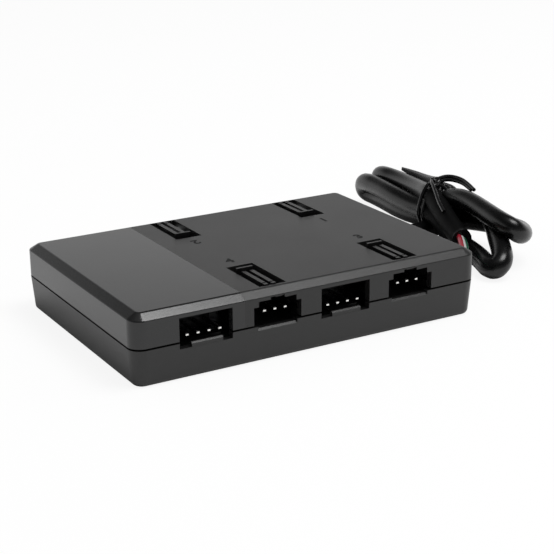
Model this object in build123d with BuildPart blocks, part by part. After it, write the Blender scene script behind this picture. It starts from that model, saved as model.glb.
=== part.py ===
from build123d import *
import math
import os

os.makedirs("parts", exist_ok=True)

# Case
case_length = 86.5
case_width = 59.0
case_height = 16.0
corner_radius = 3.0
wall = 1.8
roof_thickness = 1.8
floor_thickness = 1.8
chamfer_run = 2.0
chamfer_drop = 1.3
crest_softening = 1.0
shoulder_softening = 0.3
draft_inset = 0.7
base_edge_radius = 1.2

# Seam between the two covers
seam_height = 8.5
seam_gap = 0.4
tongue_thickness = 0.7
tongue_rise = 1.2
tongue_clearance = 0.1

# Circuit board
board_thickness = 1.6
board_top = 7.0
board_clearance = 0.35
board_corner_radius = 1.0
pin_hole_diameter = 1.1
pin_hole_sides = 6

# Case screws, driven from below through the board
screw_inset = 5.8
screw_diameter = 2.0
screw_length = 9.0
screw_clearance = 0.1
screw_head_diameter = 3.8
screw_head_height = 1.3
screw_recess_depth = 2.0
recess_clearance = 0.2
screw_head_sides = 16
column_diameter = 5.6
boss_diameter = 5.0
post_sides = 8

# Ports: a fan socket and a light socket each, two ports in turn along the front and two along the rear
first_socket_inset = 16.6
last_socket_inset = 18.65
sockets_per_side = 4
fan_window_width = 12.4
light_window_width = 11.6
window_drop = 2.15
latch_notch_width = 3.4
latch_notch_drop = 1.6
window_corner = 1.2
window_corner_depth = 0.5

# Sills of the windows: a rib on each fan sill, a narrower and higher light sill with its edge cut off
fan_rib_front = 0.15
fan_rib_depth = 0.75
fan_rib_height = 1.05
fan_rib_cut = 0.3
fan_rib_width = 7.3
fan_rib_offset = 0.3
light_sill_width = 9.6
light_sill_height = 7.8
light_sill_cut = 0.4
light_sill_face = 0.1

# Openings in the roof over the latch hoods
hood_opening_width = 6.5
hood_opening_length = 14.9
front_opening_setback = 2.9
rear_opening_setback = 2.1
hood_opening_shift = 0.5

# Pins
pin_size = 0.64
pin_pitch = 2.54
pin_tip_depth = 1.3
pin_tip_length = 0.5
pin_tip_size = 0.36
pin_bend_cut = 0.4
pin_tail = 1.6
pin_clearance = 0.04
fan_pin_height = 2.4
fan_pin_count = 4
fan_pin_row_depth = 13.4
light_pin_drop = 2.5
light_pin_count = 3
light_pin_row_depth = 15.9

# Fan headers
fan_base_front = 8.6
fan_base_depth = 3.4
fan_base_height = 5.2
fan_base_chamfer = 0.5
lock_wall_front = 3.0
lock_wall_width = 7.3
lock_wall_height = 0.8
lock_ridge_height = 0.3
lock_ridge_depth = 1.2

# Light headers with a latch hood that stands up through the roof
shell_front = 2.1
shell_back = 14.8
shell_width = 13.4
shell_clearance = 0.6
shell_side = 0.8
shell_floor = 0.8
shell_top = 0.7
shell_back_wall = 2.4
key_slot_width = 1.0
key_slot_depth = 4.0
hood_front = 3.2
hood_width = 4.0
hood_thickness = 0.7
hood_drop = 1.0
rail_rise = 0.2
rail_width = 1.0
rail_back = 13.2
rail_slot_width = 0.9
rail_groove_front = 4.1
rail_groove_width = 0.4
stop_rise = 0.65
stop_thickness = 0.6
latch_tunnel_width = 2.6
latch_entry_width = 6.4

# Parts on the board
chip_length = 10.3
chip_width = 7.5
chip_height = 2.3
chip_standoff = 0.15
chip_lead_count = 8
chip_lead_pitch = 1.27
chip_lead_width = 0.4
chip_lead_thickness = 0.25
chip_lead_reach = 1.4
chip_x = 6.0
can_diameter = 6.3
can_clearance = 1.4
can_sides = 16
can_edge_cut = 0.4
can_foot = 6.6
can_foot_height = 0.8
can_foot_cut = 1.4
can_inset = 12.25
can_y = 4.5
can_spacing = 8.0
transistor_length = 2.9
transistor_width = 1.6
transistor_height = 1.1
transistor_lead_size = 0.45
transistor_lead_thickness = 0.15
transistor_lead_reach = 0.5
transistor_lead_spacing = 0.95
transistor_x = -30.0
transistor_step = 50.0
transistor_y = 8.6
ceramic_length = 2.0
ceramic_width = 1.25
ceramic_height = 0.9
ceramic_x = -7.0
ceramic_pitch = 3.6
ceramic_count = 4
resistor_length = 1.6
resistor_width = 0.8
resistor_height = 0.5
resistor_x = -20.0
resistor_pitch = 2.4
resistor_count = 6

# Cable: four wires leave the right end and run into a sleeve, which is folded into a tied hank
wire_diameter = 1.4
wire_spacing = 1.9
wire_lift = 0.02
wire_start_x = 39.0
wire_turn_x = 46.0
wire_rise_x = 52.5
wire_rise_height = 9.0
wire_gather = 4.2
wire_pack = 0.8
exit_y = -12.0
exit_height = 8.1
exit_width = 8.4
exit_opening = 2.8
bend_share = 0.45
wire_sides = 6
sleeve_sides = 8
sleeve_diameter = 5.3
lead_route = [(59.0, -4.5, 10.2), (62.8, 0.6, 11.2), (67.9, 6.4, 11.7)]
tail_route = [(69.5, 11.0, 4.4), (61.5, 15.5, 2.8), (52.0, 18.5, 2.8), (52.0, 29.0, 2.8)]

# Hank, at stations along its length: place along Y, centre across and up, width and height
hank_floor = 0.1
hank_corner_cut = 2.0
hank_stations = [
    (-13.6, 73.5, 8.6, 12.0, 7.6),
    (-8.0, 74.8, 8.3, 16.4, 12.2),
    (8.0, 75.0, 7.35, 16.2, 14.5),
    (24.8, 73.5, 7.5, 14.0, 13.2),
    (29.2, 73.5, 7.5, 14.0, 13.2),
    (44.0, 75.9, 5.6, 16.2, 11.0),
    (60.0, 76.0, 5.5, 16.0, 10.8),
    (65.4, 76.4, 5.4, 10.6, 8.4),
]
loop_center = (66.8, -9.2)
loop_radius = 6.4
loop_root = (70.0, 2.0)
loop_root_radius = 5.0
loop_sides = 16

# Tie around the middle of the hank
tie_index = 3
tie_thickness = 0.9
tie_width = 3.0
tie_wire_diameter = 1.4
tie_left_tail = [(75.2, 27.2, 14.95), (78.4, 37.0, 14.4), (80.0, 50.5, 12.6)]
tie_right_tail = [(75.6, 26.8, 14.95), (78.0, 22.0, 15.9), (76.6, 13.0, 15.7)]

# Plug on the far end of the cable
plug_length = 12.0
plug_width = 10.6
plug_height = 5.6
plug_hole = 1.5
plug_hole_depth = 8.0
plug_rib_width = 1.0
plug_rib_height = 0.5
plug_rib_spacing = 5.6
plug_rib_count = 2
plug_edge = 0.4
contact_wall = 0.3
contact_length = 6.0
contact_setback = 1.0

# Places that follow from the sizes above
inner_length = case_length - 2 * wall
inner_width = case_width - 2 * wall
inner_radius = corner_radius - wall
rim_low = seam_height - seam_gap / 2
rim_high = seam_height + seam_gap / 2
tongue_top = seam_height + tongue_rise
chamfer_low = case_height - chamfer_drop
roof_inside = case_height - roof_thickness
board_bottom = board_top - board_thickness
screw_x = case_length / 2 - screw_inset
screw_y = case_width / 2 - screw_inset
screw_places = [(x, y) for x in (-screw_x, screw_x) for y in (-screw_y, screw_y)]
socket_spacing = (case_length - first_socket_inset - last_socket_inset) / (sockets_per_side - 1)
first_socket_x = first_socket_inset - case_length / 2
socket_columns = [first_socket_x + i * socket_spacing for i in range(sockets_per_side)]
fan_columns = socket_columns[0::2]
light_columns = socket_columns[1::2]
hole_size = pin_size + 2 * pin_clearance
exit_cut = 3 * wall
window_bottom = board_top
window_top = case_height - window_drop
latch_notch_top = case_height - latch_notch_drop
shell_roof = roof_inside - shell_clearance
light_pin_height = shell_roof - light_pin_drop - board_top
hood_top = case_height - hood_drop
latch_tunnel_top = hood_top - hood_thickness
rail_top = case_height + rail_rise
stop_top = case_height + stop_rise
can_top = roof_inside - can_clearance
can_x = case_length / 2 - can_inset
tie_middle = (hank_stations[tie_index][0] + hank_stations[tie_index + 1][0]) / 2


def save(part, name):
    """Label one finished piece and write it as its own file."""
    part.label = name
    export_step(part, f"parts/{name}.step")


def pin_places(count):
    """Offsets of a row of pins from the middle of its header."""
    return [(i - (count - 1) / 2) * pin_pitch for i in range(count)]


def seat(x, side):
    """Place of a header whose own frame starts at the outer wall and runs inwards."""
    turn = 0 if side < 0 else 180
    return Location((x, side * case_width / 2, 0), (0, 0, turn))


def bend_radii(points):
    """Largest even radius for each corner of a cable route."""
    radii = []
    for before, corner, after in zip(points, points[1:], points[2:]):
        run_in = Vector(*corner) - Vector(*before)
        run_out = Vector(*after) - Vector(*corner)
        half_turn = math.radians(run_in.get_angle(run_out)) / 2
        shorter = min(run_in.length, run_out.length)
        radii.append(bend_share * shorter / math.tan(half_turn))
    return radii


def tube(points, diameter, sides, name):
    """Plain many-sided cable along straight runs joined by tangent arcs."""
    radii = bend_radii(points)
    with BuildPart() as cable:
        with BuildLine() as route:
            FilletPolyline(*points, radius=radii)
        start = Plane(origin=route.line @ 0, z_dir=route.line % 0)
        with BuildSketch(start) as section:
            RegularPolygon(diameter / 2, sides)
        sweep()
    length = sum(edge.length for edge in route.edges())
    expected = section.sketch.area * length
    rounded = [round(radius, 1) for radius in radii]
    print(name, "radii", rounded, "volume", round(cable.part.volume / expected, 4))
    return cable.part


def box_between(low, high, mode=Mode.ADD):
    """Box given by its two opposite corners, added to the part being built."""
    size = [b - a for a, b in zip(low, high)]
    middle = [(a + b) / 2 for a, b in zip(low, high)]
    with Locations(tuple(middle)):
        Box(*size, mode=mode)


def cut_windows(columns, width, bottom, top):
    """Cut a kind of socket window through both long walls between two heights."""
    for side in (-1, 1):
        for x in columns:
            inside = side * (inner_width / 2 - wall)
            outside = side * (case_width / 2 + wall)
            low = (x - width / 2, min(inside, outside), bottom)
            high = (x + width / 2, max(inside, outside), top)
            box_between(low, high, mode=Mode.SUBTRACT)


def sill_bar(profile, width, offset=0):
    """Bar along a window sill, drawn by its section in the frame of a header."""
    with BuildPart() as bar:
        with BuildSketch(Plane.YZ.offset(offset)):
            with BuildLine():
                Polyline(*profile, close=True)
            make_face()
        extrude(amount=width / 2, both=True)
    return bar.part


fan_rib_back = fan_rib_front + fan_rib_depth
fan_rib_top = window_bottom + fan_rib_height
fan_rib_section = [
    (fan_rib_front, window_bottom),
    (fan_rib_back, window_bottom),
    (fan_rib_back, fan_rib_top),
    (fan_rib_front + fan_rib_cut, fan_rib_top),
    (fan_rib_front, fan_rib_top - fan_rib_cut),
]
fan_rib = sill_bar(fan_rib_section, fan_rib_width, fan_rib_offset)
light_edge_section = [
    (light_sill_face - wall, light_sill_height - light_sill_cut - wall),
    (light_sill_face + light_sill_cut, light_sill_height),
    (light_sill_face + light_sill_cut, light_sill_height + light_sill_cut),
    (light_sill_face - wall, light_sill_height + light_sill_cut),
]
light_edge = sill_bar(light_edge_section, light_sill_width)

# Outline of the cable exit in the right end wall
with BuildSketch(Plane.YZ.offset(inner_length / 2 - wall)) as cable_exit:
    with Locations((exit_y, exit_height)):
        SlotOverall(exit_width, exit_opening)

# Bottom cover: drafted tray with a tongue on its rim and a column at each screw
with BuildPart() as bottom_cover:
    with BuildSketch(Plane.XY.offset(rim_low)):
        RectangleRounded(case_length, case_width, corner_radius)
    extrude(amount=-rim_low, taper=math.degrees(math.atan(draft_inset / rim_low)))
    fillet(bottom_cover.faces().sort_by(Axis.Z)[0].edges(), base_edge_radius)
    with BuildSketch(Plane.XY.offset(rim_low)):
        tongue_length = inner_length + 2 * tongue_thickness
        tongue_width = inner_width + 2 * tongue_thickness
        RectangleRounded(tongue_length, tongue_width, inner_radius + tongue_thickness)
    extrude(amount=tongue_top - rim_low)
    with BuildSketch(Plane.XY.offset(floor_thickness)):
        RectangleRounded(inner_length, inner_width, inner_radius)
    extrude(amount=tongue_top, mode=Mode.SUBTRACT)
    with BuildSketch(Plane.XY.offset(floor_thickness)):
        with Locations(*screw_places):
            RegularPolygon(column_diameter / 2, post_sides, major_radius=False)
    extrude(amount=board_bottom - floor_thickness)
    with BuildSketch():
        with Locations(*screw_places):
            Circle(screw_head_diameter / 2 + recess_clearance)
    extrude(amount=screw_recess_depth, mode=Mode.SUBTRACT)
    with BuildSketch():
        with Locations(*screw_places):
            RegularPolygon(screw_diameter / 2 + screw_clearance, post_sides, major_radius=False)
    extrude(amount=board_bottom, mode=Mode.SUBTRACT)
    cut_windows(fan_columns, fan_window_width, window_bottom, case_height)
    cut_windows(light_columns, light_window_width, rim_low, case_height)
    cut_windows(light_columns, light_sill_width, light_sill_height, case_height)
    for side in (-1, 1):
        for x in fan_columns:
            add(fan_rib.moved(seat(x, side)))
        for x in light_columns:
            add(light_edge.moved(seat(x, side)), mode=Mode.SUBTRACT)
    extrude(cable_exit.sketch, amount=exit_cut, mode=Mode.SUBTRACT)
save(bottom_cover.part, "bottom_cover")

# Top cover: chamfered lid with socket windows, hood openings and hollow screw bosses
with BuildPart() as top_cover:
    with BuildSketch(Plane.XY.offset(rim_high)):
        RectangleRounded(case_length, case_width, corner_radius)
    extrude(amount=chamfer_low - rim_high)
    with BuildSketch(Plane.XY.offset(chamfer_low)):
        RectangleRounded(case_length, case_width, corner_radius)
    extrude(amount=chamfer_drop, taper=math.degrees(math.atan(chamfer_run / chamfer_drop)))
    shoulder = top_cover.edges().filter_by_position(Axis.Z, chamfer_low, chamfer_low)
    fillet(shoulder, shoulder_softening)
    crest = top_cover.faces().sort_by(Axis.Z)[-1].edges()
    fillet(crest, crest_softening)
    with BuildSketch(Plane.XY.offset(rim_high)):
        RectangleRounded(inner_length, inner_width, inner_radius)
    extrude(amount=roof_inside - rim_high, mode=Mode.SUBTRACT)
    with BuildSketch(Plane.XY.offset(rim_high)):
        rebate = tongue_thickness + tongue_clearance
        RectangleRounded(inner_length + 2 * rebate, inner_width + 2 * rebate, inner_radius + rebate)
    extrude(amount=tongue_top - rim_high, mode=Mode.SUBTRACT)
    with BuildSketch(Plane.XY.offset(board_top)):
        with Locations(*screw_places):
            RegularPolygon(boss_diameter / 2, post_sides, major_radius=False)
    extrude(amount=roof_inside - board_top)
    with BuildSketch(Plane.XY.offset(board_top)):
        with Locations(*screw_places):
            RegularPolygon(screw_diameter / 2 + screw_clearance, post_sides, major_radius=False)
    extrude(amount=screw_recess_depth + screw_length - board_top + wall, mode=Mode.SUBTRACT)
    cut_windows(fan_columns, fan_window_width, 0, window_top)
    cut_windows(light_columns, light_window_width, 0, window_top)
    for side, setback in ((-1, front_opening_setback), (1, rear_opening_setback)):
        hood_opening_middle = case_width / 2 - setback - hood_opening_length / 2
        for x in light_columns:
            for edge in (-1, 1):
                with BuildSketch(Plane.XY.offset(window_top - window_corner)):
                    corner_x = x + edge * (light_window_width - window_corner) / 2
                    with Locations((corner_x, side * (case_width - window_corner_depth) / 2)):
                        Rectangle(window_corner, window_corner_depth)
                extrude(amount=window_corner)
            with BuildSketch(Plane.XY.offset(roof_inside)):
                with Locations((x + hood_opening_shift, side * hood_opening_middle)):
                    Rectangle(hood_opening_width, hood_opening_length)
            extrude(amount=case_height, mode=Mode.SUBTRACT)
            with BuildSketch(Plane.XY.offset(window_bottom)):
                with Locations((x, side * case_width / 2)):
                    Rectangle(latch_notch_width, 2 * wall)
            extrude(amount=latch_notch_top - window_bottom, mode=Mode.SUBTRACT)
    extrude(cable_exit.sketch, amount=exit_cut, mode=Mode.SUBTRACT)
save(top_cover.part, "top_cover")

# Circuit board with screw holes and plated pin holes
pin_rows = [(x, fan_pin_row_depth, fan_pin_count) for x in fan_columns]
pin_rows += [(x, light_pin_row_depth, light_pin_count) for x in light_columns]
with BuildPart() as circuit_board:
    with BuildSketch(Plane.XY.offset(board_bottom)):
        board_length = inner_length - 2 * board_clearance
        board_width = inner_width - 2 * board_clearance
        RectangleRounded(board_length, board_width, board_corner_radius)
        with Locations(*screw_places):
            RegularPolygon(
                screw_diameter / 2 + screw_clearance, post_sides, major_radius=False, mode=Mode.SUBTRACT
            )
        for side in (-1, 1):
            for x, depth, count in pin_rows:
                row = [(x + step, side * (case_width / 2 - depth)) for step in pin_places(count)]
                with Locations(*row):
                    RegularPolygon(pin_hole_diameter / 2, pin_hole_sides, mode=Mode.SUBTRACT)
    extrude(amount=board_thickness)
save(circuit_board.part, "circuit_board")

# Case screws
with BuildPart() as case_screws:
    with BuildSketch(Plane.XY.offset(screw_recess_depth)):
        with Locations(*screw_places):
            RegularPolygon(screw_diameter / 2, post_sides)
    extrude(amount=screw_length)
    with BuildSketch(Plane.XY.offset(screw_recess_depth)):
        with Locations(*screw_places):
            RegularPolygon(screw_head_diameter / 2, screw_head_sides)
    extrude(amount=-screw_head_height)
save(case_screws.part, "case_screws")


def bent_pins(count, height, row_depth):
    """Row of square pins that run out to the wall and bend down through the board."""
    level = board_top + height
    with BuildPart() as pins:
        with BuildSketch(Plane.YZ):
            with BuildLine():
                low_level = level - pin_size / 2
                high_level = level + pin_size / 2
                inner = row_depth - pin_size / 2
                outer = row_depth + pin_size / 2
                foot = board_bottom - pin_tail
                tip_start = pin_tip_depth + pin_tip_length
                Polyline(
                    (pin_tip_depth, level + pin_tip_size / 2),
                    (tip_start, high_level),
                    (outer - pin_bend_cut, high_level),
                    (outer, high_level - pin_bend_cut),
                    (outer, foot),
                    (inner, foot),
                    (inner, low_level),
                    (tip_start, low_level),
                    (pin_tip_depth, level - pin_tip_size / 2),
                    close=True,
                )
            make_face()
        extrude(amount=pin_size / 2, both=True)
    with BuildPart() as row:
        with Locations(*[(step, 0, 0) for step in pin_places(count)]):
            add(pins.part)
    return row.part


# Fan header: base block with pin holes, and a friction lock wall under three of the pins
with BuildPart() as fan_header:
    base_back = fan_base_front + fan_base_depth
    half_base = fan_pin_count * pin_pitch / 2
    base_top = board_top + fan_base_height
    with BuildSketch(Plane.YZ):
        with BuildLine():
            Polyline(
                (fan_base_front, board_top),
                (base_back, board_top),
                (base_back, base_top),
                (fan_base_front + fan_base_chamfer, base_top),
                (fan_base_front, base_top - fan_base_chamfer),
                close=True,
            )
        make_face()
    extrude(amount=half_base, both=True)
    with BuildSketch(Plane.YZ.offset(pin_pitch / 2)):
        with BuildLine():
            Polyline(
                (lock_wall_front, board_top),
                (fan_base_front, board_top),
                (fan_base_front, board_top + lock_wall_height),
                (lock_wall_front + lock_ridge_depth, board_top + lock_wall_height),
                (lock_wall_front + lock_ridge_depth, board_top + lock_wall_height + lock_ridge_height),
                (lock_wall_front, board_top + lock_wall_height),
                close=True,
            )
        make_face()
    extrude(amount=lock_wall_width / 2, both=True)
    with BuildSketch(Plane.XZ.offset(-fan_base_front)):
        with Locations(*[(step, board_top + fan_pin_height) for step in pin_places(fan_pin_count)]):
            Rectangle(hole_size, hole_size)
    extrude(amount=-fan_base_depth, mode=Mode.SUBTRACT)

# Light header: open shell with a keyed mouth, and a latch hood with two rails and a stop behind them
with BuildPart() as light_header:
    cavity_floor = board_top + shell_floor
    cavity_roof = shell_roof - shell_top
    cavity_half = shell_width / 2 - shell_side
    cavity_back = shell_back - shell_back_wall
    box_between((-shell_width / 2, shell_front, board_top), (shell_width / 2, shell_back, shell_roof))
    with BuildSketch(Plane.YZ):
        with BuildLine():
            Polyline(
                (hood_front, cavity_roof),
                (shell_back, cavity_roof),
                (shell_back, stop_top),
                (shell_back - stop_thickness, stop_top),
                (shell_back - stop_thickness, hood_top),
                (hood_front, hood_top),
                close=True,
            )
        make_face()
    extrude(amount=hood_width / 2, both=True)
    crest_half = rail_slot_width / 2 + rail_width
    groove_back = rail_groove_front + rail_groove_width
    box_between((-crest_half, hood_front, hood_top), (crest_half, rail_back, rail_top))
    box_between(
        (-crest_half, rail_groove_front, hood_top),
        (crest_half, groove_back, rail_top),
        mode=Mode.SUBTRACT,
    )
    box_between(
        (-cavity_half, shell_front, cavity_floor), (cavity_half, cavity_back, cavity_roof), mode=Mode.SUBTRACT
    )
    box_between(
        (-latch_entry_width / 2, shell_front, cavity_roof),
        (latch_entry_width / 2, hood_front, shell_roof),
        mode=Mode.SUBTRACT,
    )
    box_between(
        (-latch_tunnel_width / 2, shell_front, cavity_roof),
        (latch_tunnel_width / 2, cavity_back, latch_tunnel_top),
        mode=Mode.SUBTRACT,
    )
    box_between(
        (-rail_slot_width / 2, hood_front, latch_tunnel_top),
        (rail_slot_width / 2, rail_back, rail_top),
        mode=Mode.SUBTRACT,
    )
    for side in (-1, 1):
        with BuildSketch(Plane.XZ.offset(-shell_front)):
            with Locations((side * shell_width / 2, (cavity_floor + cavity_roof) / 2)):
                Rectangle(2 * shell_side, key_slot_width)
        extrude(amount=-key_slot_depth, mode=Mode.SUBTRACT)
    with BuildSketch(Plane.XZ.offset(-cavity_back)):
        with Locations(*[(step, board_top + light_pin_height) for step in pin_places(light_pin_count)]):
            Rectangle(hole_size, hole_size)
    extrude(amount=-shell_back_wall, mode=Mode.SUBTRACT)

fan_pins = bent_pins(fan_pin_count, fan_pin_height, fan_pin_row_depth)
light_pins = bent_pins(light_pin_count, light_pin_height, light_pin_row_depth)

# Ports count from the rear right corner, as they are numbered on the lid
ports = [(column, side) for side in (1, -1) for column in (1, 0)]
for number, (column, side) in enumerate(ports, start=1):
    fan_seat = seat(fan_columns[column], side)
    light_seat = seat(light_columns[column], side)
    save(fan_header.part.moved(fan_seat), f"fan_header_{number}")
    save(fan_pins.moved(fan_seat), f"fan_pins_{number}")
    save(light_header.part.moved(light_seat), f"light_header_{number}")
    save(light_pins.moved(light_seat), f"light_pins_{number}")

# Controller chip with two rows of gull-wing leads
with BuildPart() as controller_chip:
    with BuildSketch(Plane.XY.offset(board_top + chip_standoff)):
        with Locations((chip_x, 0)):
            Rectangle(chip_length, chip_width)
    extrude(amount=chip_height - chip_standoff)
    lead_level = board_top + chip_height / 2
    for side in (-1, 1):
        root = side * chip_width / 2
        knee = side * (chip_width / 2 + chip_lead_reach / 2)
        toe = side * (chip_width / 2 + chip_lead_reach)
        thick = chip_lead_thickness
        for i in range(chip_lead_count):
            x = chip_x + (i - (chip_lead_count - 1) / 2) * chip_lead_pitch
            with BuildSketch(Plane.YZ.offset(x)):
                with BuildLine():
                    Polyline(
                        (root, lead_level),
                        (knee + side * thick, lead_level),
                        (knee + side * thick, board_top + thick),
                        (toe, board_top + thick),
                        (toe, board_top),
                        (knee, board_top),
                        (knee, lead_level - thick),
                        (root, lead_level - thick),
                        close=True,
                    )
                make_face()
            extrude(amount=chip_lead_width / 2, both=True)
save(controller_chip.part, "controller_chip")

# Supply capacitors: two cans, each on a square foot with two cut corners
can_places = [(can_x, can_y - can_spacing / 2), (can_x, can_y + can_spacing / 2)]
with BuildPart() as capacitors:
    with BuildSketch(Plane.XY.offset(board_top)):
        with Locations(*can_places):
            Rectangle(can_foot, can_foot)
    extrude(amount=can_foot_height)
    outer_edges = capacitors.edges().filter_by(Axis.Z).group_by(Axis.X)[-1]
    chamfer(outer_edges, can_foot_cut)
    with BuildSketch(Plane.XY.offset(board_top + can_foot_height)):
        with Locations(*can_places):
            RegularPolygon(can_diameter / 2, can_sides)
    extrude(amount=can_top - board_top - can_foot_height)
    chamfer(capacitors.faces().filter_by(Axis.Z).group_by(Axis.Z)[-1].edges(), can_edge_cut)
save(capacitors.part, "supply_capacitors")

# Transistors, one beside each port
transistor_columns = [transistor_x, transistor_x + transistor_step]
transistor_places = [(x, side * transistor_y) for x in transistor_columns for side in (-1, 1)]
with BuildPart() as transistors:
    with BuildSketch(Plane.XY.offset(board_top)):
        with Locations(*transistor_places):
            Rectangle(transistor_length, transistor_width)
    extrude(amount=transistor_height)
    with BuildSketch(Plane.XY.offset(board_top)):
        for x, y in transistor_places:
            reach = transistor_width / 2 + transistor_lead_reach / 2
            lead_offsets = [(-transistor_lead_spacing, -reach), (transistor_lead_spacing, -reach), (0, reach)]
            with Locations(*[(x + dx, y + dy) for dx, dy in lead_offsets]):
                Rectangle(transistor_lead_size, transistor_lead_reach)
    extrude(amount=transistor_lead_thickness)
save(transistors.part, "transistors")

# Ceramic capacitors and chip resistors, in rows beside the controller
with BuildPart() as ceramic_capacitors:
    with BuildSketch(Plane.XY.offset(board_top)):
        with Locations((ceramic_x, 0)):
            with GridLocations(1, ceramic_pitch, 1, ceramic_count):
                Rectangle(ceramic_length, ceramic_width)
    extrude(amount=ceramic_height)
save(ceramic_capacitors.part, "ceramic_capacitors")

with BuildPart() as chip_resistors:
    with BuildSketch(Plane.XY.offset(board_top)):
        with Locations((resistor_x, 0)):
            with GridLocations(1, resistor_pitch, 1, resistor_count):
                Rectangle(resistor_length, resistor_width)
    extrude(amount=resistor_height)
save(chip_resistors.part, "chip_resistors")

# Wires from the board to the sleeve: side by side at the exit, packed two by two in the sleeve
sleeve_start = Vector(*lead_route[0])
sleeve_way = (Vector(*lead_route[1]) - sleeve_start).normalized()
sleeve_side = sleeve_way.cross(Vector(0, 0, 1)).normalized()
sleeve_up = sleeve_side.cross(sleeve_way)
wire_level = board_top + wire_diameter / 2 + wire_lift
wire_packing = {"wire_black": (-1, -1), "wire_red": (-1, 1), "wire_white": (1, 1), "wire_green": (1, -1)}
for i, (name, (across, up)) in enumerate(wire_packing.items()):
    y = exit_y + ((len(wire_packing) - 1) / 2 - i) * wire_spacing
    end = sleeve_start + sleeve_side * (across * wire_pack) + sleeve_up * (up * wire_pack)
    gather = end - sleeve_way * wire_gather
    rise = (wire_rise_x, y, wire_rise_height + up * wire_pack)
    points = [(wire_start_x, y, wire_level), (wire_turn_x, y, wire_level), rise, tuple(gather), tuple(end)]
    save(tube(points, wire_diameter, wire_sides, name), name)

# Sleeve from the wires to the hank, and from the hank to the plug
cable_lead = tube(lead_route, sleeve_diameter, sleeve_sides, "cable_lead")
cable_tail = tube(tail_route, sleeve_diameter, sleeve_sides, "cable_tail")
save(cable_lead, "cable_lead")
save(cable_tail, "cable_tail")

# Hank: the outer shape of the folded sleeve, with one low loop at its front corner
with BuildPart() as cable_hank:
    for y, x, z, width, height in hank_stations:
        with BuildSketch(Plane.XZ.offset(-y)) as section:
            with Locations((x, z)):
                Rectangle(width, height)
            chamfer(section.vertices(), hank_corner_cut)
    loft(ruled=True)
    with BuildSketch(Plane.XY.offset(hank_floor)):
        with Locations(loop_center):
            RegularPolygon(loop_radius, loop_sides)
        with Locations(loop_root):
            RegularPolygon(loop_root_radius, loop_sides)
        make_hull()
    extrude(amount=sleeve_diameter)
    add(cable_lead, mode=Mode.SUBTRACT)
    add(cable_tail, mode=Mode.SUBTRACT)
save(cable_hank.part, "cable_hank")

# Tie: a band round the middle of the hank, with its two wire ends left long
tie_x, tie_z, waist_width, waist_height = hank_stations[tie_index][1:]
with BuildPart() as cable_tie:
    with BuildSketch(Plane.XZ.offset(-tie_middle - tie_width / 2)) as band:
        with Locations((tie_x, tie_z)):
            Rectangle(waist_width + 2 * tie_thickness, waist_height + 2 * tie_thickness)
        chamfer(band.vertices(), hank_corner_cut + tie_thickness / 2)
    extrude(amount=tie_width)
    add(cable_hank.part, mode=Mode.SUBTRACT)
    add(tube(tie_left_tail, tie_wire_diameter, wire_sides, "tie left end"))
    add(tube(tie_right_tail, tie_wire_diameter, wire_sides, "tie right end"))
save(cable_tie.part, "cable_tie")

# Plug: four-way housing that lies on the floor beside the case
plug_rear = Vector(*tail_route[-1])
plug_mouth = plug_rear.Y + plug_length
with BuildPart() as cable_plug:
    with BuildSketch(Plane.XZ.offset(-plug_mouth)):
        with Locations((plug_rear.X, plug_height / 2)):
            RectangleRounded(plug_width, plug_height, plug_edge)
        with Locations((plug_rear.X, plug_height)):
            with GridLocations(plug_rib_spacing, 1, plug_rib_count, 1):
                Rectangle(plug_rib_width, 2 * plug_rib_height)
    extrude(amount=plug_length)
    with BuildSketch(Plane.XZ.offset(-plug_mouth)):
        with Locations((plug_rear.X, plug_height / 2)):
            with GridLocations(pin_pitch, 1, fan_pin_count, 1):
                Rectangle(plug_hole, plug_hole)
    extrude(amount=plug_hole_depth, mode=Mode.SUBTRACT)
save(cable_plug.part, "cable_plug")

# Spring contacts inside the plug
with BuildPart() as plug_contacts:
    with BuildSketch(Plane.XZ.offset(contact_setback - plug_mouth)):
        with Locations((plug_rear.X, plug_height / 2)):
            with GridLocations(pin_pitch, 1, fan_pin_count, 1):
                Rectangle(plug_hole, plug_hole)
                Rectangle(plug_hole - 2 * contact_wall, plug_hole - 2 * contact_wall, mode=Mode.SUBTRACT)
    extrude(amount=contact_length)
save(plug_contacts.part, "plug_contacts")
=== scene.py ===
from math import radians

import bmesh
import bpy
from mathutils import Matrix, Vector


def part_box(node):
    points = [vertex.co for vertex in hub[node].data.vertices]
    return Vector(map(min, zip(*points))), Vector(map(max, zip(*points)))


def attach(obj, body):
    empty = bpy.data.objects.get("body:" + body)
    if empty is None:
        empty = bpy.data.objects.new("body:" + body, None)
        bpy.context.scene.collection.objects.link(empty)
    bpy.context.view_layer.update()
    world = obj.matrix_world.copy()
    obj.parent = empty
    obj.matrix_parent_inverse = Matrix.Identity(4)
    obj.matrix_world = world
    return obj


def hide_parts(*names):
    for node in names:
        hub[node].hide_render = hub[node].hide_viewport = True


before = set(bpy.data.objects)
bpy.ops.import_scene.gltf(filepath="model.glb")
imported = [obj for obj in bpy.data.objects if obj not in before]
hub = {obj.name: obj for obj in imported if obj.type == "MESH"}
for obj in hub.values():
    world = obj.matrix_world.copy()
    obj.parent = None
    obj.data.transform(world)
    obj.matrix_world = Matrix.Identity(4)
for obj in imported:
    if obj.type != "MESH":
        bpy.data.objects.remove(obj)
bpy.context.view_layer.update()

mm = 0.001


# Camera
cameraLook = {
    "place": (-151.79, -273.96, 115.83), "azimuth": -30.16, "elevation": 18.98, "roll": -0.51,
    "lens": 92.64, "sensor": 36, "nearest": 0.01,
}


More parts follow.
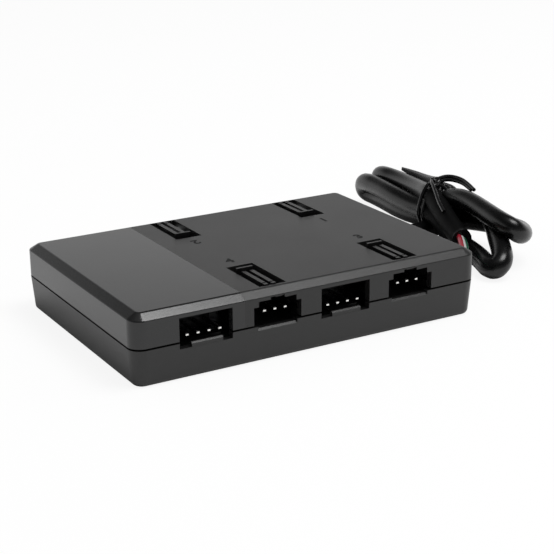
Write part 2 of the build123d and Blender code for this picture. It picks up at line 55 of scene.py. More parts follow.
def placeCamera(look):
    lens = bpy.data.cameras.new("productCamera")
    lens.lens = look["lens"]
    lens.sensor_width = look["sensor"]
    lens.clip_start = look["nearest"]
    camera = bpy.data.objects.new("productCamera", lens)
    aim = Matrix.Rotation(radians(look["azimuth"]), 4, "Z")
    aim = aim @ Matrix.Rotation(radians(90 - look["elevation"]), 4, "X")
    aim = aim @ Matrix.Rotation(radians(look["roll"]), 4, "Z")
    camera.matrix_world = Matrix.Translation(Vector(look["place"]) * mm) @ aim
    bpy.context.scene.collection.objects.link(camera)
    bpy.context.scene.camera = camera


placeCamera(cameraLook)
print("camera placed")


# Small helpers for materials
def newFinish(name, color, rough, metal=0.0, gloss=0.5):
    mat = bpy.data.materials.new(name)
    mat.use_nodes = True
    shader = mat.node_tree.nodes["Principled BSDF"]
    shader.inputs["Base Color"].default_value = (*color, 1)
    shader.inputs["Roughness"].default_value = rough
    shader.inputs["Metallic"].default_value = metal
    shader.inputs["Specular IOR Level"].default_value = gloss
    mat.diffuse_color = (*color, 1)
    return mat, mat.node_tree, shader


def placeOf(tree):
    return tree.nodes.new("ShaderNodeTexCoord").outputs["Object"]


def cloud(tree, where, scale, detail, stretch=None):
    if stretch:
        mapping = tree.nodes.new("ShaderNodeMapping")
        mapping.inputs["Scale"].default_value = stretch
        tree.links.new(where, mapping.inputs["Vector"])
        where = mapping.outputs["Vector"]
    noise = tree.nodes.new("ShaderNodeTexNoise")
    noise.inputs["Scale"].default_value = scale
    noise.inputs["Detail"].default_value = detail
    tree.links.new(where, noise.inputs["Vector"])
    return noise.outputs["Fac"]


def remap(tree, value, low, high, fromLow=0.0, fromHigh=1.0):
    node = tree.nodes.new("ShaderNodeMapRange")
    node.inputs["From Min"].default_value = fromLow
    node.inputs["From Max"].default_value = fromHigh
    node.inputs["To Min"].default_value = low
    node.inputs["To Max"].default_value = high
    tree.links.new(value, node.inputs["Value"])
    return node.outputs["Result"]


def sums(tree, kind, first, second):
    node = tree.nodes.new("ShaderNodeMath")
    node.operation = kind
    for socket, value in zip(node.inputs, (first, second)):
        if isinstance(value, (int, float)):
            socket.default_value = value
        else:
            tree.links.new(value, socket)
    return node.outputs["Value"]


def blendColor(tree, amount, first, second):
    node = tree.nodes.new("ShaderNodeMix")
    node.data_type = "RGBA"
    tree.links.new(amount, node.inputs["Factor"])
    for socket, value in ((node.inputs["A"], first), (node.inputs["B"], second)):
        if isinstance(value, tuple):
            socket.default_value = (*value, 1)
        else:
            tree.links.new(value, socket)
    return node.outputs["Result"]


def axisOf(tree, where, axis):
    split = tree.nodes.new("ShaderNodeSeparateXYZ")
    tree.links.new(where, split.inputs["Vector"])
    return split.outputs[axis]


def bumpFrom(tree, shader, height, strength, depth):
    bump = tree.nodes.new("ShaderNodeBump")
    bump.inputs["Strength"].default_value = strength
    bump.inputs["Distance"].default_value = depth
    tree.links.new(height, bump.inputs["Height"])
    tree.links.new(bump.outputs["Normal"], shader.inputs["Normal"])


def tinted(color, factor):
    return tuple(min(1, v * factor) for v in color)


def distanceFrom(tree, value, middle):
    return sums(tree, "ABSOLUTE", sums(tree, "SUBTRACT", value, middle * mm), 0)


# Finishes of the case: fine grain, smoother over the left part of the lid, and painted shade along the seam, where
# colour and gloss are taken down to stand in for shade in the groove
coverLook = {
    "smooth": (0.0120, 0.0121, 0.0124), "smoothRough": 0.19, "smoothRelief": 0.25,
    "grained": (0.0095, 0.0095, 0.0094), "grainedRough": 0.38, "border": -17.5, "gloss": 0.5,
    "grainScale": 5200, "driftScale": 60, "driftTint": 1.25, "driftRough": 0.03,
    # The seam entries paint shade in a band round the seam height: near-black colour and little gloss
    "seam": 8.5, "seamShadeNear": 0.14, "seamShadeFar": 0.26, "seamShadeTone": (0.001, 0.001, 0.001), "seamShadeGloss": 0.04,
    "bump": 0.35, "bumpDepth": 0.00006,
}


def coverFinish(name, look, split):
    grained, grainedRough, spread = look["grained"], look["grainedRough"], look["driftRough"]
    mat, tree, shader = newFinish(name, grained, grainedRough)
    where = placeOf(tree)
    grain = cloud(tree, where, look["grainScale"], detail=2.0)
    drift = cloud(tree, where, look["driftScale"], detail=3.0)
    if split:
        side = sums(tree, "GREATER_THAN", axisOf(tree, where, "X"), look["border"] * mm)
        tone = blendColor(tree, side, look["smooth"], grained)
        rough = remap(tree, side, look["smoothRough"], grainedRough)
        rough = sums(tree, "ADD", rough, remap(tree, drift, -spread, spread))
        height = sums(tree, "MULTIPLY", grain, remap(tree, side, look["smoothRelief"], 1.0))
    else:
        tone = blendColor(tree, drift, grained, tinted(grained, look["driftTint"]))
        rough = remap(tree, drift, grainedRough - spread, grainedRough + spread)
        height = grain
    # Painted shade: near the seam height the colour goes near black and the gloss drops, standing in for shade in
    # the groove
    reach = distanceFrom(tree, axisOf(tree, where, "Z"), look["seam"])
    outsideSeamShade = remap(tree, reach, 0.0, 1.0, look["seamShadeNear"] * mm, look["seamShadeFar"] * mm)
    tree.links.new(blendColor(tree, outsideSeamShade, look["seamShadeTone"], tone), shader.inputs["Base Color"])
    tree.links.new(remap(tree, outsideSeamShade, look["seamShadeGloss"], look["gloss"]), shader.inputs["Specular IOR Level"])
    tree.links.new(rough, shader.inputs["Roughness"])
    bumpFrom(tree, shader, height, look["bump"], look["bumpDepth"])
    return mat


# Black moulded nylon of the headers and the plug
nylonLook = {
    "flowScale": 900, "flowStretch": (1, 0.35, 1), "smoother": 0.07, "rougher": 0.09, "darker": 0.75, "lighter": 1.3,
    "grainScale": 3500, "bump": 0.18, "bumpDepth": 0.00005,
}


def nylonFinish(name, color, rough):
    look = nylonLook
    mat, tree, shader = newFinish(name, color, rough)
    where = placeOf(tree)
    flow = cloud(tree, where, look["flowScale"], detail=4.0, stretch=look["flowStretch"])
    tree.links.new(remap(tree, flow, rough - look["smoother"], rough + look["rougher"]), shader.inputs["Roughness"])
    tone = blendColor(tree, flow, tinted(color, look["darker"]), tinted(color, look["lighter"]))
    tree.links.new(tone, shader.inputs["Base Color"])
    bumpFrom(tree, shader, cloud(tree, where, look["grainScale"], detail=2.0), look["bump"], look["bumpDepth"])
    return mat


# Plated metal, with fine drawing lines along one axis, and painted shade on the pins behind their tips, standing in
# for the shade inside the housing
# Pin shafts get painted shade: darkened by the shaft tint behind the tips, fading in over the tip fade
metalLook = {
    "lineScale": 1400, "lineTint": 0.86, "shaftShadeTint": 0.16, "tipShadeFade": 0.3, "smoother": 0.08, "rougher": 0.14,
    "bump": 0.12, "bumpDepth": 0.00003,
}


def metalFinish(name, color, rough, stretch, tips=None):
    look = metalLook
    mat, tree, shader = newFinish(name, color, rough, metal=1.0)
    where = placeOf(tree)
    lines = cloud(tree, where, look["lineScale"], detail=3.0, stretch=stretch)
    tone = blendColor(tree, lines, tinted(color, look["lineTint"]), color)
    # Painted shade: behind the tip band along Y the pins are darkened, standing in for the shade inside the housing
    if tips:
        reach = distanceFrom(tree, axisOf(tree, where, "Y"), 0)
        bright = remap(tree, reach, 0.0, 1.0, (tips - look["tipShadeFade"]) * mm, tips * mm)
        tone = blendColor(tree, bright, tinted(color, look["shaftShadeTint"]), tone)
    tree.links.new(remap(tree, lines, rough - look["smoother"], rough + look["rougher"]), shader.inputs["Roughness"])
    tree.links.new(tone, shader.inputs["Base Color"])
    bumpFrom(tree, shader, lines, look["bump"], look["bumpDepth"])
    return mat


# Board: dark solder mask with traces that shine through it
boardLook = {
    "base": (0.003, 0.004, 0.003), "rough": 0.36, "gloss": 0.3, "traceScale": 190, "traceWidth": 0.035,
    "patchTone": 0.15,
    "mask": (0.0025, 0.0032, 0.0028), "trace": (0.0060, 0.0085, 0.0070), "bump": 0.3, "bumpDepth": 0.00004,
}


def boardFinish(name, look):
    mat, tree, shader = newFinish(name, look["base"], look["rough"], gloss=look["gloss"])
    bricks = tree.nodes.new("ShaderNodeTexBrick")
    bricks.inputs["Scale"].default_value = look["traceScale"]
    bricks.inputs["Mortar Size"].default_value = look["traceWidth"]
    bricks.inputs["Color1"].default_value = (0, 0, 0, 1)
    bricks.inputs["Color2"].default_value = (*[look["patchTone"]] * 3, 1)
    bricks.inputs["Mortar"].default_value = (1, 1, 1, 1)
    tree.links.new(placeOf(tree), bricks.inputs["Vector"])
    traces = bricks.outputs["Color"]
    tree.links.new(blendColor(tree, traces, look["mask"], look["trace"]), shader.inputs["Base Color"])
    bumpFrom(tree, shader, traces, look["bump"], look["bumpDepth"])
    return mat


# Chip: moulded body with plated feet, which lie beyond a half width from its middle line
chipLook = {
    "body": (0.010, 0.010, 0.011), "foot": (0.78, 0.77, 0.74), "halfWidth": 3.8, "rough": 0.45,
    "speckScale": 2600, "speckTint": 1.5, "speckRough": 0.05, "bodyRough": 0.5, "footRough": 0.28,
    "bump": 0.2, "bumpDepth": 0.00005,
}


def chipFinish(name, look):
    mat, tree, shader = newFinish(name, look["body"], look["rough"])
    low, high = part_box("controller_chip")
    where = placeOf(tree)
    reach = distanceFrom(tree, axisOf(tree, where, "Y"), (low.y + high.y) / 2 / mm)
    plated = sums(tree, "GREATER_THAN", reach, look["halfWidth"] * mm)
    speck = cloud(tree, where, look["speckScale"], detail=3.0)
    body = blendColor(tree, speck, look["body"], tinted(look["body"], look["speckTint"]))
    tree.links.new(blendColor(tree, plated, body, look["foot"]), shader.inputs["Base Color"])
    tree.links.new(plated, shader.inputs["Metallic"])
    rough = remap(tree, plated, look["bodyRough"], look["footRough"])
    rough = sums(tree, "ADD", rough, remap(tree, speck, -look["speckRough"], look["speckRough"]))
    tree.links.new(rough, shader.inputs["Roughness"])
    bumpFrom(tree, shader, speck, look["bump"], look["bumpDepth"])
    return mat


# Capacitors: bare can over a black foot
canLook = {
    "base": (0.62, 0.63, 0.65), "rough": 0.3, "footTop": 7.8, "foot": (0.01, 0.01, 0.011),
    "turnedScale": 900, "turnedStretch": (1, 1, 12), "dark": (0.5, 0.51, 0.53), "bright": (0.66, 0.67, 0.69),
    "smoothest": 0.24, "roughest": 0.42, "bump": 0.1, "bumpDepth": 0.00004,
}


def canFinish(name, look):
    mat, tree, shader = newFinish(name, look["base"], look["rough"], metal=1.0)
    where = placeOf(tree)
    can = sums(tree, "GREATER_THAN", axisOf(tree, where, "Z"), look["footTop"] * mm)
    turned = cloud(tree, where, look["turnedScale"], detail=2.0, stretch=look["turnedStretch"])
    tone = blendColor(tree, turned, look["dark"], look["bright"])
    tree.links.new(blendColor(tree, can, look["foot"], tone), shader.inputs["Base Color"])
    tree.links.new(can, shader.inputs["Metallic"])
    tree.links.new(remap(tree, turned, look["smoothest"], look["roughest"]), shader.inputs["Roughness"])
    bumpFrom(tree, shader, turned, look["bump"], look["bumpDepth"])
    return mat


# Matt bodies of the small parts on the board
ceramicLook = {
    "rough": 0.55, "speckScale": 3000, "darker": 0.7, "lighter": 1.2, "smoothest": 0.4, "roughest": 0.65,
    "bump": 0.25, "bumpDepth": 0.00004,
}


def ceramicFinish(name, color):
    look = ceramicLook
    mat, tree, shader = newFinish(name, color, look["rough"])
    speck = cloud(tree, placeOf(tree), look["speckScale"], detail=4.0)
    tone = blendColor(tree, speck, tinted(color, look["darker"]), tinted(color, look["lighter"]))
    tree.links.new(tone, shader.inputs["Base Color"])
    tree.links.new(remap(tree, speck, look["smoothest"], look["roughest"]), shader.inputs["Roughness"])
    bumpFrom(tree, shader, speck, look["bump"], look["bumpDepth"])
    return mat


# Extruded skin of wires, sleeve and tie: soft gloss with faint ripples, and painted shade on the lead under the
# upper fold, where gloss is taken down and roughness raised
skinLook = {
    "rippleScale": 420, "smoother": 0.05, "rougher": 0.07, "tintScale": 150, "darker": 0.85, "lighter": 1.15,
    "bumpScale": 1500, "bump": 0.10, "bumpDepth": 0.00006,
}


def skinFinish(name, color, rough, gloss=0.5, paintedLeadShade=None):
    look = skinLook
    mat, tree, shader = newFinish(name, color, rough, gloss=gloss)
    where = placeOf(tree)
    ripple = cloud(tree, where, look["rippleScale"], detail=3.0)
    sheen = remap(tree, ripple, rough - look["smoother"], rough + look["rougher"])
    # Painted shade: in a region of the lead under the upper fold, gloss is taken down and roughness raised,
    # darkening it where shade falls
    if paintedLeadShade:
        across, along = axisOf(tree, where, "X"), axisOf(tree, where, "Y")
        across = sums(tree, "SUBTRACT", across, sums(tree, "MULTIPLY", along, paintedLeadShade["slant"]))
        left = remap(tree, across, 1.0, 0.0, *[v * mm for v in paintedLeadShade["right"]])
        front = remap(tree, along, 0.0, 1.0, *[v * mm for v in paintedLeadShade["near"]])
        back = remap(tree, along, 1.0, 0.0, *[v * mm for v in paintedLeadShade["far"]])
        leadShadeMask = sums(tree, "MULTIPLY", left, sums(tree, "MULTIPLY", front, back))
        sheen = sums(tree, "ADD", sheen, remap(tree, leadShadeMask, 0.0, paintedLeadShade["rougher"]))
        tree.links.new(remap(tree, leadShadeMask, gloss, paintedLeadShade["gloss"]), shader.inputs["Specular IOR Level"])
    tree.links.new(sheen, shader.inputs["Roughness"])
    tint = cloud(tree, where, look["tintScale"], detail=2.0)
    tone = blendColor(tree, tint, tinted(color, look["darker"]), tinted(color, look["lighter"]))
    tree.links.new(tone, shader.inputs["Base Color"])
    bumpFrom(tree, shader, cloud(tree, where, look["bumpScale"], detail=3.0), look["bump"], look["bumpDepth"])
    return mat


def dress(mat, *names):
    for name in names:
        hub[name].data.materials.clear()
        hub[name].data.materials.append(mat)


# Tones of the headers, the plug, their metal and the small parts
partLook = {
    "header": (0.0030, 0.0030, 0.0032), "headerRough": 0.34, "plug": (0.0095, 0.0095, 0.0100), "plugRough": 0.38,
    "pin": (0.86, 0.85, 0.82), "pinRough": 0.22, "pinStretch": (1, 0.1, 1), "pinTip": 27.8,
    "contact": (0.84, 0.82, 0.76), "contactRough": 0.25, "contactStretch": (0.1, 1, 1),
    "transistor": (0.012, 0.012, 0.013), "ceramic": (0.42, 0.27, 0.13), "resistor": (0.012, 0.012, 0.014),
}
ports = [(kind, i) for kind in ("fan", "light") for i in (1, 2, 3, 4)]
headerFinish = nylonFinish("headerNylon", partLook["header"], partLook["headerRough"])
pinShadedFinish = metalFinish("pinTinShadedShaft", partLook["pin"], partLook["pinRough"], partLook["pinStretch"], partLook["pinTip"])
contactFinish = metalFinish("contactTin", partLook["contact"], partLook["contactRough"], partLook["contactStretch"])
dress(coverFinish("lidGrain", coverLook, True), "top_cover")
dress(coverFinish("trayGrain", coverLook, False), "bottom_cover")
dress(headerFinish, *[f"{kind}_header_{i}" for kind, i in ports])
dress(pinShadedFinish, *[f"{kind}_pins_{i}" for kind, i in ports])
dress(boardFinish("boardMask", boardLook), "circuit_board")
dress(chipFinish("chipEpoxy", chipLook), "controller_chip")
dress(canFinish("capacitorCan", canLook), "supply_capacitors")
dress(ceramicFinish("transistorEpoxy", partLook["transistor"]), "transistors")
dress(ceramicFinish("capacitorCeramic", partLook["ceramic"]), "ceramic_capacitors")
dress(ceramicFinish("resistorGlaze", partLook["resistor"]), "chip_resistors")
dress(contactFinish, "plug_contacts")
dress(nylonFinish("plugNylon", partLook["plug"], partLook["plugRough"]), "cable_plug")
print("finishes on", len(hub), "nodes")


# Curves for the cable, its wires and its tie
curveLook = {"order": 3, "steps": 8}


def smoothLine(name, routes, diameter, mat, rings, width=0.0):
    curve = bpy.data.curves.new(name, "CURVE")
    curve.dimensions = "3D"
    curve.bevel_depth = diameter / 2 * mm
    if width:
        curve.extrude = (width - diameter) / 2 * mm
    curve.bevel_resolution = rings
    curve.use_fill_caps = True
    for route in routes:
        spline = curve.splines.new("NURBS")
        spline.points.add(len(route) - 1)
        for point, place in zip(spline.points, route):
            point.co = (*[v * mm for v in place], 1)
        spline.order_u = curveLook["order"]
        spline.use_endpoint_u = True
        spline.resolution_u = curveLook["steps"]
    curve.materials.append(mat)
    piece = bpy.data.objects.new(name, curve)
    bpy.context.scene.collection.objects.link(piece)
    return piece


# Sleeved cable: from the wires up to the tie, two folds behind it and two in front, then along to the plug
sleeveLook = {
    "diameter": 5.3,
    "length": 0.36,
    "exit": (43.3, -12.0, 8.1),
    "color": (0.0022, 0.0022, 0.0024), "rough": 0.26, "gloss": 0.42, "rings": 7,
    # Painted shade on the lead under the upper fold: the region it covers and how dull it gets
    "paintedLeadShade": {"slant": 0.27, "right": (65.4, 66.2), "near": (1.4, 2.4), "far": (24.5, 26.0),
               "rougher": 0.3, "gloss": 0.06},
    "lead": [(62.6, 1.3, 6.6), (63.9, 5.4, 7.1), (66.0, 12.0, 8.4), (68.6, 19.0, 10.0), (71.4, 27.0, 11.0)],
    "rearHighFold": [(73.6, 34.0, 10.2), (75.4, 42.0, 9.5), (76.6, 50.0, 9.2), (76.6, 56.0, 9.1),
                     (77.4, 60.4, 8.2),
                     (80.2, 61.4, 5.4), (81.2, 56.0, 4.6), (80.8, 48.0, 4.6), (79.8, 38.0, 6.4),
                     (78.2, 28.0, 8.4)],
    "frontLowFold": [(77.8, 20.0, 9.6), (77.4, 13.0, 10.0), (76.2, 7.4, 9.2), (74.0, 2.2, 7.8),
                     (70.4, -3.6, 6.6), (67.0, -9.4, 5.6),
                     (64.6, -12.8, 4.4), (62.2, -13.2, 2.8), (61.9, -10.6, 2.7), (63.2, -7.4, 2.7),
                     (64.7, -3.6, 2.7), (66.2, 1.6, 2.7),
                     (66.8, 8.0, 3.2), (67.6, 14.0, 4.6), (69.2, 20.6, 6.9), (70.0, 27.0, 6.8)],
    "rearLowFold": [(69.6, 35.0, 7.0), (69.8, 43.0, 7.5), (70.8, 51.0, 7.6), (71.2, 56.0, 7.6),
                    (72.0, 60.4, 6.8),
                    (73.6, 62.2, 3.4), (74.8, 58.0, 2.7), (74.0, 51.0, 2.7), (72.8, 43.0, 2.7),
                    (73.2, 35.0, 2.7), (75.6, 27.0, 3.2)],
    "frontHighFold": [(76.0, 22.0, 4.8), (76.6, 16.0, 5.8), (78.0, 10.0, 6.4), (79.4, 4.0, 6.8),
                      (79.0, -1.6, 7.2), (76.6, -5.6, 7.8), (73.2, -8.6, 9.0),
                      (70.4, -8.6, 11.0), (70.2, -4.0, 11.6), (71.5, 4.0, 12.1), (72.7, 11.0, 12.5),
                      (73.2, 16.5, 12.3)],
    "tail": [(73.2, 21.4, 11.0), (73.0, 24.4, 8.0), (72.8, 24.0, 4.6), (70.2, 23.6, 2.8), (66.0, 22.6, 2.7),
             (60.0, 21.6, 2.7), (54.4, 22.4, 2.7), (52.0, 25.6, 2.8), (52.0, 29.2, 2.8)],
}
sleeveParts = ("lead", "rearHighFold", "frontLowFold", "rearLowFold", "frontHighFold", "tail")
sleeveRoute = [place for part in sleeveParts for place in sleeveLook[part]]
sleeveSkin = skinFinish("sleeveSkin", sleeveLook["color"], sleeveLook["rough"], sleeveLook["gloss"],
                        sleeveLook["paintedLeadShade"])
sleeve = smoothLine("cableSleeve", [sleeveRoute], sleeveLook["diameter"], sleeveSkin, sleeveLook["rings"])

# Four wires from the case into the sleeve
wireLook = {
    "diameter": 1.3, "rough": 0.3, "rings": 4,
    "black": [(39.0, -9.15, 7.72), (46.0, -9.15, 7.72), (52.0, -8.6, 7.0), (57.0, -4.6, 6.2),
              (60.4, -0.6, 6.0), (62.2, 2.2, 6.2), (63.8, 5.0, 6.6)],
    "red": [(39.0, -11.05, 7.72), (46.0, -11.05, 7.72), (52.0, -10.4, 7.4), (56.5, -7.0, 7.1),
            (59.0, -3.0, 7.4), (61.6, 1.0, 7.5), (63.6, 5.0, 7.4)],
    "white": [(39.0, -12.95, 7.72), (46.0, -12.95, 7.72), (53.0, -11.0, 7.0), (57.9, -6.0, 6.7),
              (60.4, -2.0, 7.0), (62.8, 2.0, 7.1), (64.2, 5.0, 7.1)],
    "green": [(39.0, -14.85, 7.72), (46.0, -14.85, 7.72), (54.0, -12.0, 6.7), (59.3, -5.0, 6.3),
              (61.8, -1.0, 6.6), (63.8, 2.8, 6.7), (64.9, 5.4, 6.8)],
}
wireColors = {
    "black": (0.008, 0.008, 0.008), "red": (0.30, 0.016, 0.030),
    "white": (0.52, 0.53, 0.52), "green": (0.012, 0.085, 0.045),
}
wires = []
for colorName, color in wireColors.items():
    skin = skinFinish(f"{colorName}Skin", color, wireLook["rough"])
    wire = smoothLine(f"wireSkin_{colorName}", [wireLook[colorName]], wireLook["diameter"], skin, wireLook["rings"])
    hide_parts(f"wire_{colorName}")
    wires.append(wire)

# Twist tie: coated wire, two turns round the waist, a twisted knot above it, a short end and two long ones
tieLook = {
    "color": (0.0030, 0.0030, 0.0034), "rough": 0.26, "rings": 3, "strand": 1.0,
    "leafThick": 0.6, "leafWidth": 1.5, "leafSwell": [1.0, 1.3, 1.7, 1.8, 1.5, 0.7],
    "turns": [[(73.4, 26.8, 14.4), (72.0, 26.8, 14.9), (70.0, 26.6, 14.2), (68.3, 26.4, 12.0),
               (67.1, 26.2, 9.2), (66.6, 26.0, 7.0), (67.1, 25.8, 4.4), (68.8, 25.6, 1.6),
               (72.0, 25.6, 0.6), (76.4, 25.8, 0.6),
               (79.2, 26.2, 2.4), (81.4, 26.6, 6.0), (81.4, 26.8, 9.0), (79.4, 27.0, 11.8),
               (76.4, 27.0, 13.2), (73.6, 27.0, 14.0), (71.8, 26.4, 14.4)],
              [(74.0, 26.0, 13.6), (72.4, 25.4, 14.3), (70.4, 25.2, 13.6), (68.8, 25.0, 11.6),
               (67.6, 24.8, 9.0), (67.0, 24.6, 6.6), (67.5, 24.4, 4.0), (69.2, 24.4, 1.4),
               (72.4, 24.6, 0.6), (76.6, 25.0, 0.7),
               (79.4, 25.4, 2.6), (81.4, 25.8, 6.2), (81.2, 26.0, 9.2), (79.0, 26.2, 11.8),
               (76.2, 26.4, 13.0), (73.4, 26.4, 13.8), (71.6, 25.8, 14.2)]],
    "knot": [[(71.2, 27.2, 13.6), (72.0, 25.6, 14.2), (73.6, 25.8, 14.9), (74.0, 27.2, 15.2),
              (72.6, 27.9, 15.0), (71.6, 26.8, 14.8), (72.4, 25.6, 14.2), (74.0, 25.0, 13.4),
              (75.2, 24.2, 12.0)],
             [(74.6, 27.6, 13.4), (73.8, 26.0, 13.9), (72.2, 25.8, 14.9), (71.6, 27.2, 15.3),
              (73.0, 28.0, 14.8), (74.4, 26.8, 14.2), (73.6, 25.4, 13.2), (72.4, 24.4, 12.4)],
             [(72.2, 26.4, 14.8), (73.4, 25.6, 13.8), (73.2, 24.8, 12.0), (72.4, 24.2, 10.6),
              (71.2, 23.8, 9.6)],
             [(73.4, 26.8, 14.9), (74.5, 25.8, 14.0), (74.4, 25.0, 12.6), (73.6, 24.4, 11.8),
              (72.4, 23.6, 11.6)],
             [(70.8, 27.0, 12.4), (72.4, 26.2, 13.0), (74.0, 25.6, 13.2), (75.6, 25.2, 13.2),
              (76.6, 25.4, 12.4)]],
    "shortEnd": [(72.6, 27.4, 15.0), (71.1, 26.6, 15.0), (69.6, 23.6, 14.7), (67.9, 20.0, 13.8),
                 (66.4, 17.0, 12.8), (65.2, 14.0, 11.9), (64.5, 11.6, 11.1)],
    "rightEnd": [[(72.0, 27.4, 14.6), (73.2, 26.6, 15.2), (75.6, 25.8, 15.9), (77.4, 23.6, 15.8),
                  (77.5, 19.4, 15.5), (75.5, 13.4, 14.9)],
                 [(72.2, 26.8, 14.4), (73.6, 26.0, 14.6), (75.4, 25.2, 15.1), (77.0, 23.0, 15.0),
                  (77.0, 19.0, 14.8), (75.6, 14.8, 14.5)]],
    "leftEnd": [(72.8, 26.2, 14.6), (74.2, 28.4, 14.3), (76.0, 33.2, 12.9), (77.5, 38.8, 12.0),
                (78.9, 45.0, 11.6), (79.9, 52.4, 11.4)],
}
tieSkin = skinFinish("tieSkin", tieLook["color"], tieLook["rough"])
tieRoutes = tieLook["turns"] + tieLook["knot"] + tieLook["rightEnd"] + [tieLook["shortEnd"]]
tie = smoothLine("cableTwistTie", tieRoutes, tieLook["strand"], tieSkin, tieLook["rings"])
tieLeaf = smoothLine("cableTieEnd", [tieLook["leftEnd"]], tieLook["leafThick"], tieSkin, tieLook["rings"],
                     tieLook["leafWidth"])
for point, swell in zip(tieLeaf.data.splines[0].points, tieLook["leafSwell"]):
    point.radius = swell
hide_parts("cable_tie")

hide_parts("cable_lead", "cable_hank", "cable_tail")
for piece in (sleeve, tie, tieLeaf, *wires):
    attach(piece, "root")
print("cable laid")


# Port numbers sunk into the lid
numberLook = {
    "fontSize": 3.75, "deep": 0.05, "top": 16.02, "bold": 0.12, "color": (0.0022, 0.0022, 0.0023), "rough": 0.8,
    "places": {"1": (25.35, 8.29, 180), "2": (-9.35, 8.67, 180), "3": (25.04, -7.86, 0), "4": (-9.34, -7.84, 0)},
}


def sinkNumbers(look):
    mat = nylonFinish("numberShade", look["color"], look["rough"])
    for digit, (x, y, turn) in look["places"].items():
        text = bpy.data.curves.new(f"number{digit}", "FONT")
        text.body = digit
        text.size = look["fontSize"] * mm
        text.offset = look["bold"] * mm
        text.align_x = "CENTER"
        text.align_y = "CENTER"
        text.extrude = look["deep"] / 2 * mm
        holder = bpy.data.objects.new(f"number{digit}", text)
        bpy.context.scene.collection.objects.link(holder)
        bpy.context.view_layer.update()
        shape = bpy.data.meshes.new_from_object(holder.evaluated_get(bpy.context.evaluated_depsgraph_get()))
        bpy.data.objects.remove(holder)
        place = Matrix.Translation((x * mm, y * mm, (look["top"] - look["deep"] / 2) * mm))
        shape.transform(place @ Matrix.Rotation(radians(turn), 4, "Z"))
        shape.materials.clear()
        shape.materials.append(mat)
        piece = bpy.data.objects.new(f"portNumber_{digit}", shape)
        bpy.context.scene.collection.objects.link(piece)
        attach(piece, "root")


sinkNumbers(numberLook)
print("numbers sunk")


# Screws under the case: pan heads with a cross recess
screwLook = {
    "shank": 1.0, "head": 1.9, "under": 2.0, "tip": 11.0, "crown": 0.7, "cross": (2.3, 0.5, 0.8), "steps": 28,
    "bevel": (0.6, 0.8), "dome": [(1.0, 0.75), (0.9, 0.3), (0.62, 0.06), (0, 0)], "turn": (7, 3), "weld": 1e-6,
    "color": (0.50, 0.51, 0.53), "rough": 0.3, "stretch": (1, 1, 8),
    "places": [(x, y) for x in (-37.45, 37.45) for y in (-23.7, 23.7)],
}


def driveScrews(look):
    shank, head, crown, tip, under = [look[key] for key in ("shank", "head", "crown", "tip", "under")]
    narrow, short = look["bevel"]
    outline = [(0, tip), (shank * narrow, tip), (shank, tip - short), (shank, under), (head, under)]
    outline += [(head * wide, crown + drop) for wide, drop in look["dome"]]
    shape = bmesh.new()
    points = [shape.verts.new((r * mm, 0, z * mm)) for r, z in outline]
    for first, second in zip(points, points[1:]):
        shape.edges.new((first, second))
    bmesh.ops.spin(shape, geom=shape.verts[:] + shape.edges[:], cent=(0, 0, 0), axis=(0, 0, 1),
                   angle=radians(360), steps=look["steps"], use_merge=True)
    bmesh.ops.remove_doubles(shape, verts=shape.verts, dist=look["weld"])
    bmesh.ops.recalc_face_normals(shape, faces=shape.faces)
    turned = bpy.data.meshes.new("screwTurned")
    shape.to_mesh(turned)
    shape.free()
    cutter = bmesh.new()
    length, width, deep = look["cross"]
    for size in ((length, width), (width, length)):
        arm = bmesh.ops.create_cube(cutter, size=1)["verts"]
        bmesh.ops.scale(cutter, verts=arm, vec=(size[0] * mm, size[1] * mm, 2 * deep * mm))
        bmesh.ops.translate(cutter, verts=arm, vec=(0, 0, crown * mm))
    crossMesh = bpy.data.meshes.new("screwCross")
    cutter.to_mesh(crossMesh)
    cutter.free()
    blank = bpy.data.objects.new("screwBlank", turned)
    cross = bpy.data.objects.new("screwCross", crossMesh)
    for helper in (blank, cross):
        bpy.context.scene.collection.objects.link(helper)
    driven = blank.modifiers.new("cross", "BOOLEAN")
    driven.object = cross
    driven.use_self = True
    bpy.context.view_layer.update()
    single = bpy.data.meshes.new_from_object(blank.evaluated_get(bpy.context.evaluated_depsgraph_get()))
    for helper in (blank, cross):
        bpy.data.objects.remove(helper)
    shape = bmesh.new()
    for x, y in look["places"]:
        placed = single.copy()
        turn = Matrix.Rotation(radians(x * look["turn"][0] + y * look["turn"][1]), 4, "Z")
        placed.transform(Matrix.Translation((x * mm, y * mm, 0)) @ turn)
        shape.from_mesh(placed)
        bpy.data.meshes.remove(placed)
    screwMesh = bpy.data.meshes.new("caseScrews")
    shape.to_mesh(screwMesh)
    shape.free()
    screwMesh.materials.append(metalFinish("screwZinc", look["color"], look["rough"], look["stretch"]))
    piece = bpy.data.objects.new("caseScrews", screwMesh)
    bpy.context.scene.collection.objects.link(piece)
    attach(piece, "root")
    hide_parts("case_screws")


driveScrews(screwLook)
print("screws driven")


# Floor, softbox and white studio
studioLook = {
    "floor": 3.0, "floorTone": 0.92, "floorRough": 0.9, "floorGlow": 0.88, "ambient": 0.5,
    "sweep": [(0.0, 0.95), (0.20, 0.85), (0.33, 0.68), (0.42, 0.36), (0.50, 0.12),
              (0.58, 0.05), (0.78, 0.05), (0.92, 0.16), (1.0, 0.3)],
    "frontShade": 0.25, "shadeFrom": -0.3, "shadeTo": 0.1,
    "softbox": {"place": (0.30, -0.22, 0.93), "size": (0.5, 0.5), "watts": 6.5},
}


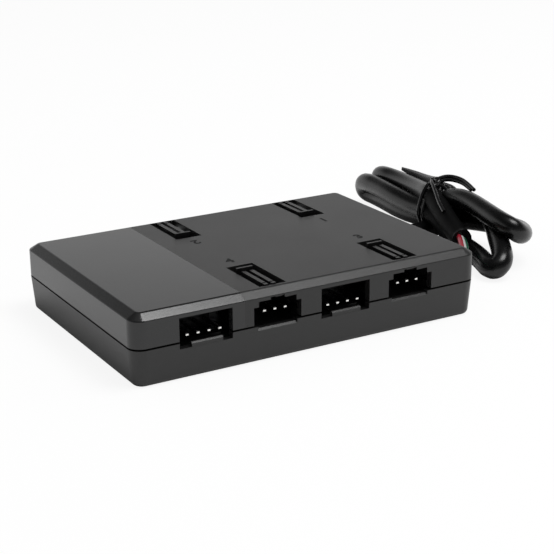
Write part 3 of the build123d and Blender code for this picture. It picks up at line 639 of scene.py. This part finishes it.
def setStudio(look):
    shape = bmesh.new()
    bmesh.ops.create_grid(shape, x_segments=1, y_segments=1, size=look["floor"] / 2)
    ground = bpy.data.meshes.new("studioFloor")
    shape.to_mesh(ground)
    shape.free()
    floor = bpy.data.objects.new("studioFloor", ground)
    bpy.context.scene.collection.objects.link(floor)
    mat, tree, shader = newFinish("studioPaper", (look["floorTone"],) * 3, look["floorRough"], gloss=0.0)
    rays = tree.nodes.new("ShaderNodeLightPath")
    glow = tree.nodes.new("ShaderNodeEmission")
    mixer = tree.nodes.new("ShaderNodeMixShader")
    tree.links.new(sums(tree, "MULTIPLY", rays.outputs["Is Camera Ray"], look["floorGlow"]), mixer.inputs["Fac"])
    tree.links.new(shader.outputs["BSDF"], mixer.inputs[1])
    tree.links.new(glow.outputs["Emission"], mixer.inputs[2])
    tree.links.new(mixer.outputs["Shader"], tree.nodes["Material Output"].inputs["Surface"])
    ground.materials.append(mat)

    box = look["softbox"]
    lamp = bpy.data.lights.new("softbox", "AREA")
    lamp.shape = "RECTANGLE"
    lamp.size, lamp.size_y = box["size"]
    lamp.energy = box["watts"]
    lampHolder = bpy.data.objects.new("softbox", lamp)
    aim = Vector(box["place"]).to_track_quat("Z", "Y").to_matrix().to_4x4()
    lampHolder.matrix_world = Matrix.Translation(box["place"]) @ aim
    bpy.context.scene.collection.objects.link(lampHolder)

    world = bpy.data.worlds.new("whiteStudio")
    bpy.context.scene.world = world
    world.use_nodes = True
    tree = world.node_tree
    back = tree.nodes["Background"]
    toward = tree.nodes.new("ShaderNodeTexCoord").outputs["Generated"]
    rise = axisOf(tree, toward, "Z")
    ramp = tree.nodes.new("ShaderNodeValToRGB")
    stops = look["sweep"]
    while len(ramp.color_ramp.elements) < len(stops):
        ramp.color_ramp.elements.new(0.5)
    for stop, (position, tone) in zip(ramp.color_ramp.elements, stops):
        stop.position = position
        stop.color = (tone, tone, tone, 1)
    tree.links.new(rise, ramp.inputs["Fac"])
    depth = axisOf(tree, toward, "Y")
    depth = remap(tree, depth, look["frontShade"], 1.0, look["shadeFrom"], look["shadeTo"])
    shade = blendColor(tree, depth, (0, 0, 0), ramp.outputs["Color"])
    rays = tree.nodes.new("ShaderNodeLightPath")
    seen = sums(tree, "MAXIMUM", rays.outputs["Is Camera Ray"], rays.outputs["Is Transmission Ray"])
    mirrored = blendColor(tree, rays.outputs["Is Glossy Ray"], (look["ambient"],) * 3, shade)
    tree.links.new(blendColor(tree, seen, mirrored, (1, 1, 1)), back.inputs["Color"])
    back.inputs["Strength"].default_value = 1.0
    bpy.context.scene.view_settings.view_transform = "Standard"


setStudio(studioLook)
print("studio set")
